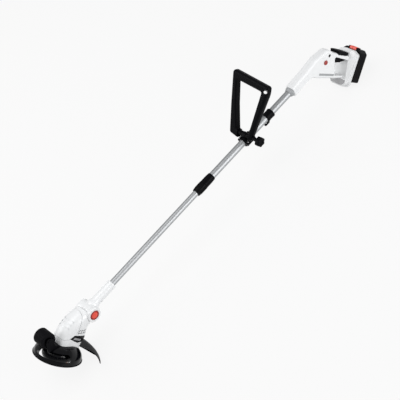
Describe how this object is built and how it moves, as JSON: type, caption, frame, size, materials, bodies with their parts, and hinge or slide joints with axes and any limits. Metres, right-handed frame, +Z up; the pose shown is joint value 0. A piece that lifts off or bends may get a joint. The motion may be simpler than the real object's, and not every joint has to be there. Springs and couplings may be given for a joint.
{
  "type": "cordless string trimmer",
  "caption": "Cordless string trimmer with a telescopic shaft, tilting head, rear guard, edge wheel, loop handle and a slide-on battery pack.",
  "frame": {"origin": "under the middle of the object's bounding box, on the floor that it lies on", "axes": "+X runs from the cutting head to the battery, +Z is up, and the operator's left is -Y"},
  "size_m": [1.4118, 0.2226, 0.3221],
  "materials": {
    "white_housing": "satin white",
    "white_handle": "satin white",
    "grey_plastic": "matt grey",
    "black_plastic": "semi-matt black",
    "gloss_black": "glossy black",
    "soft_black": "matt soft-touch",
    "red_plastic": "satin red",
    "satin_aluminium": "satin",
    "steel": "bright",
    "spring_steel": "drawn wire",
    "nylon_line": "nylon",
    "cell_wrap": "shrink-wrapped cell"
  },
  "bodies": {
    "handle": {"upper_tube": "satin_aluminium", "lock_sleeve": "black_plastic", "wedge_ring": "grey_plastic", "strap_collar": "black_plastic", "neck_ring": "grey_plastic", "handle_shell_left": "white_handle", "handle_shell_right": "white_handle", "grip_pad": "soft_black", "switch_body": "black_plastic", "trigger_pin": "steel", "trigger_spring": "spring_steel", "lock_off_spring": "spring_steel", "battery_dock": "white_handle", "terminal_block": "black_plastic"},
    "lower_shaft": {"lower_tube": "satin_aluminium", "slide_bush": "black_plastic", "motor_lead": "soft_black", "pivot_sleeve": "white_housing"},
    "lock_nut": {"lock_nut": "black_plastic"},
    "head": {"motor_housing": "white_housing", "motor_cover": "white_housing", "motor_can": "steel", "spool_hood": "black_plastic", "debris_guard": "black_plastic", "line_cutter": "steel", "cutter_screw": "steel", "wheel_bracket": "black_plastic", "edge_axle": "steel", "pivot_pin": "steel", "button_spring": "spring_steel"},
    "tilt_button": {"tilt_button": "red_plastic"},
    "spool": {"motor_shaft": "steel", "cooling_fan": "black_plastic", "spool_carrier": "grey_plastic", "spool_housing": "gloss_black", "spool_cap": "gloss_black", "line_spool": "grey_plastic", "trimmer_line": "nylon_line", "spool_spring": "spring_steel"},
    "bump_knob": {"bump_knob": "gloss_black"},
    "edge_wheel": {"edge_tyre": "soft_black", "edge_hub": "black_plastic"},
    "clamp": {"clamp_top": "black_plastic", "clamp_bottom": "black_plastic", "clamp_bolt": "steel"},
    "clamp_knob": {"clamp_knob": "black_plastic"},
    "loop_handle": {"loop_handle": "black_plastic"},
    "trigger": {"trigger": "black_plastic"},
    "lock_off_button": {"lock_off_button": "red_plastic"},
    "battery_pack": {"pack_base": "black_plastic", "pack_cover": "black_plastic", "battery_cell_1": "cell_wrap", "battery_cell_2": "cell_wrap", "battery_cell_3": "cell_wrap", "battery_cell_4": "cell_wrap", "battery_cell_5": "cell_wrap"},
    "release_button": {"release_button": "red_plastic"}
  },
  "joints": [
    {"name": "tube_slide", "type": "slide", "parent": "handle", "child": "lower_shaft", "axis": [0.9988, 0, 0.0489], "range_m": [-0.1, 0.18]},
    {"name": "lock_twist", "type": "hinge", "parent": "handle", "child": "lock_nut", "pos_m": [-0.03866, 0, 0.13711], "axis": [0.9988, 0, 0.0489], "range_deg": [0, 90]},
    {"name": "head_tilt", "type": "hinge", "parent": "lower_shaft", "child": "head", "pos_m": [-0.5091, 0, 0.1141], "axis": [0, 1, 0], "range_deg": [-30, 30]},
    {"name": "tilt_button_press", "type": "slide", "parent": "head", "child": "tilt_button", "axis": [0, 1, 0], "range_m": [0, 0.0035], "stiffness_N_per_m": 900, "springref_m": -0.004},
    {"name": "spool_spin", "type": "hinge", "parent": "head", "child": "spool", "pos_m": [-0.64797, 0, 0.07727], "axis": [0.7218, 0, 0.6921], "continuous": true},
    {"name": "bump_press", "type": "slide", "parent": "spool", "child": "bump_knob", "axis": [0.7218, 0, 0.6921], "range_m": [0, 0.003], "stiffness_N_per_m": 2500, "springref_m": -0.003},
    {"name": "edge_wheel_spin", "type": "hinge", "parent": "head", "child": "edge_wheel", "pos_m": [-0.65518, 0, 0.15819], "axis": [0, 1, 0], "continuous": true},
    {"name": "clamp_slide", "type": "slide", "parent": "handle", "child": "clamp", "axis": [0.9988, 0, 0.0489], "range_m": [-0.12, 0.05]},
    {"name": "loop_tilt", "type": "hinge", "parent": "clamp", "child": "loop_handle", "pos_m": [0.19313, 0, 0.16747], "axis": [0, 1, 0], "range_deg": [-50, 40]},
    {"name": "clamp_knob_turn", "type": "hinge", "parent": "clamp", "child": "clamp_knob", "pos_m": [0.19313, 0, 0.16747], "axis": [0, 1, 0], "continuous": true},
    {"name": "trigger_pull", "type": "hinge", "parent": "handle", "child": "trigger", "pos_m": [0.63545, 0, 0.09658], "axis": [0, 1, 0], "range_deg": [0, 5.5], "stiffness_Nm_per_rad": 1.2, "springref_deg": -14.32},
    {"name": "lock_off_press", "type": "slide", "parent": "handle", "child": "lock_off_button", "axis": [0, 1, 0], "range_m": [0, 0.002], "stiffness_N_per_m": 700, "springref_m": -0.003},
    {"name": "pack_slide", "type": "slide", "parent": "handle", "child": "battery_pack", "axis": [0.7337, 0, 0.6794], "range_m": [0, 0.11]},
    {"name": "release_press", "type": "slide", "parent": "battery_pack", "child": "release_button", "axis": [-0.7337, 0, -0.6794], "range_m": [0, 0.002], "stiffness_N_per_m": 1200, "springref_m": -0.003}
  ]
}
